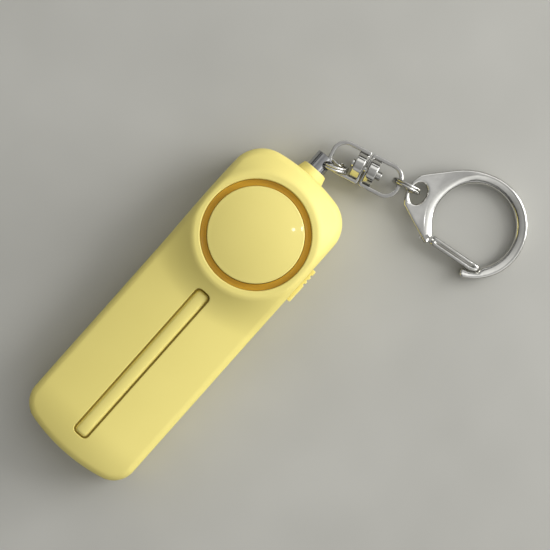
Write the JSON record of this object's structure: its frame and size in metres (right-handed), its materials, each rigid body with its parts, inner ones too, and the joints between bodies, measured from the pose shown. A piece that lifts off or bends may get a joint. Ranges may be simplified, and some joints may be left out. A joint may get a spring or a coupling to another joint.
{
  "type": "personal safety alarm",
  "caption": "Pocket safety alarm: slim rounded case with a domed sounder, a side slide switch and a pull plug on a swivel with a key clasp.",
  "frame": {"origin": "centre of the case's flat back face, where the case lies on a surface", "axes": "+Y along the case towards the pull plug and the clasp, +Z out of the front through the dome, +X to the side with the slide switch"},
  "size_m": [0.064, 0.1148, 0.018],
  "materials": {
    "body_yellow": "soft-touch matte",
    "dome_yellow": "satin",
    "amber_lens": "clear amber, half gloss",
    "black_plastic": "moulded",
    "black_rubber": "matte",
    "brass_disc": "rolled",
    "white_ceramic": "fired",
    "gold_contact": "plated",
    "board_green": "solder mask",
    "copper_wire": "enamelled",
    "capacitor_can": "drawn",
    "lamp_white": "clear",
    "cell_jacket": "foil",
    "plated_steel": "nickel plated",
    "screw_steel": "zinc plated",
    "chrome_post": "plated",
    "chrome_wire": "plated",
    "chrome_cast": "polished and plated"
  },
  "bodies": {
    "case": {"front_shell": "body_yellow", "rear_shell": "body_yellow", "inlay_bar": "body_yellow", "dome_cap": "dome_yellow", "light_ring": "amber_lens", "sounder_case": "black_plastic", "sounder_gasket": "black_rubber", "sounder_diaphragm": "brass_disc", "piezo_ceramic": "white_ceramic", "sounder_leads": "gold_contact", "circuit_board": "board_green", "boost_coil": "copper_wire", "controller_chip": "black_plastic", "driver_transistors": "black_plastic", "capacitors": "capacitor_can", "strobe_leds": "lamp_white", "battery_cell_left": "cell_jacket", "battery_cell_right": "cell_jacket", "positive_contact": "plated_steel", "negative_contact": "plated_steel", "bridge_contact": "plated_steel", "battery_springs": "plated_steel", "battery_door": "body_yellow", "door_screw": "screw_steel", "case_screws": "screw_steel", "slide_switch_body": "black_plastic", "pin_switch_body": "black_plastic", "plug_socket": "black_plastic"},
    "switch_knob": {"side_switch_knob": "body_yellow"},
    "pin_plunger": {"pin_switch_plunger": "black_plastic"},
    "plug": {"pull_plug": "body_yellow", "plug_post": "chrome_post"},
    "ring_inner": {"split_ring_inner": "chrome_wire"},
    "bail_inner": {"swivel_bail_inner": "chrome_cast", "swivel_rivet": "chrome_cast"},
    "bail_outer": {"swivel_bail_outer": "chrome_cast"},
    "ring_outer": {"split_ring_outer": "chrome_wire"},
    "clasp": {"clasp_hook": "chrome_cast", "gate_pin": "chrome_cast", "gate_leaf_spring": "plated_steel"},
    "gate": {"clasp_gate": "chrome_cast"}
  },
  "joints": [
    {"name": "plug_pull", "type": "slide", "parent": "case", "child": "plug", "axis": [0, 1, 0], "range_m": [0, 0.018]},
    {"name": "plunger_follow", "type": "slide", "parent": "case", "child": "pin_plunger", "axis": [0, 1, 0], "range_m": [0, 0.0008]},
    {"name": "switch_slide", "type": "slide", "parent": "case", "child": "switch_knob", "axis": [0, 1, 0], "range_m": [0, 0.003]},
    {"name": "ring_inner_swing", "type": "hinge", "parent": "plug", "child": "ring_inner", "pos_m": [0, 0.0469, 0.007], "axis": [0.6428, 0, 0.766], "range_deg": [-15, 45]},
    {"name": "bail_inner_swing", "type": "hinge", "parent": "ring_inner", "child": "bail_inner", "pos_m": [0.00527, 0.04982, 0.00355], "axis": [0, 0, 1], "range_deg": [-20, 5]},
    {"name": "swivel_spin", "type": "hinge", "parent": "bail_inner", "child": "bail_outer", "pos_m": [0.00858, 0.05261, 0.00355], "axis": [0.969, 0.247, 0], "continuous": true},
    {"name": "ring_outer_swing", "type": "hinge", "parent": "bail_outer", "child": "ring_outer", "pos_m": [0.01514, 0.05521, 0.00355], "axis": [0, 0, 1], "range_deg": [-20, 20]},
    {"name": "clasp_swing", "type": "hinge", "parent": "ring_outer", "child": "clasp", "pos_m": [0.02134, 0.05679, 0.00255], "axis": [0, 0, 1], "range_deg": [-25, 25]},
    {"name": "gate_open", "type": "hinge", "parent": "clasp", "child": "gate", "pos_m": [0.02994, 0.05047, 0.00233], "axis": [0.0319, 0.0066, 0.9995], "range_deg": [0, 28], "stiffness_Nm_per_rad": 0.03, "springref_deg": -17.19}
  ],
  "couplings": [
    {"joint": "plunger_follow", "follows": "plug_pull", "ratio": 0.044444}
  ]
}
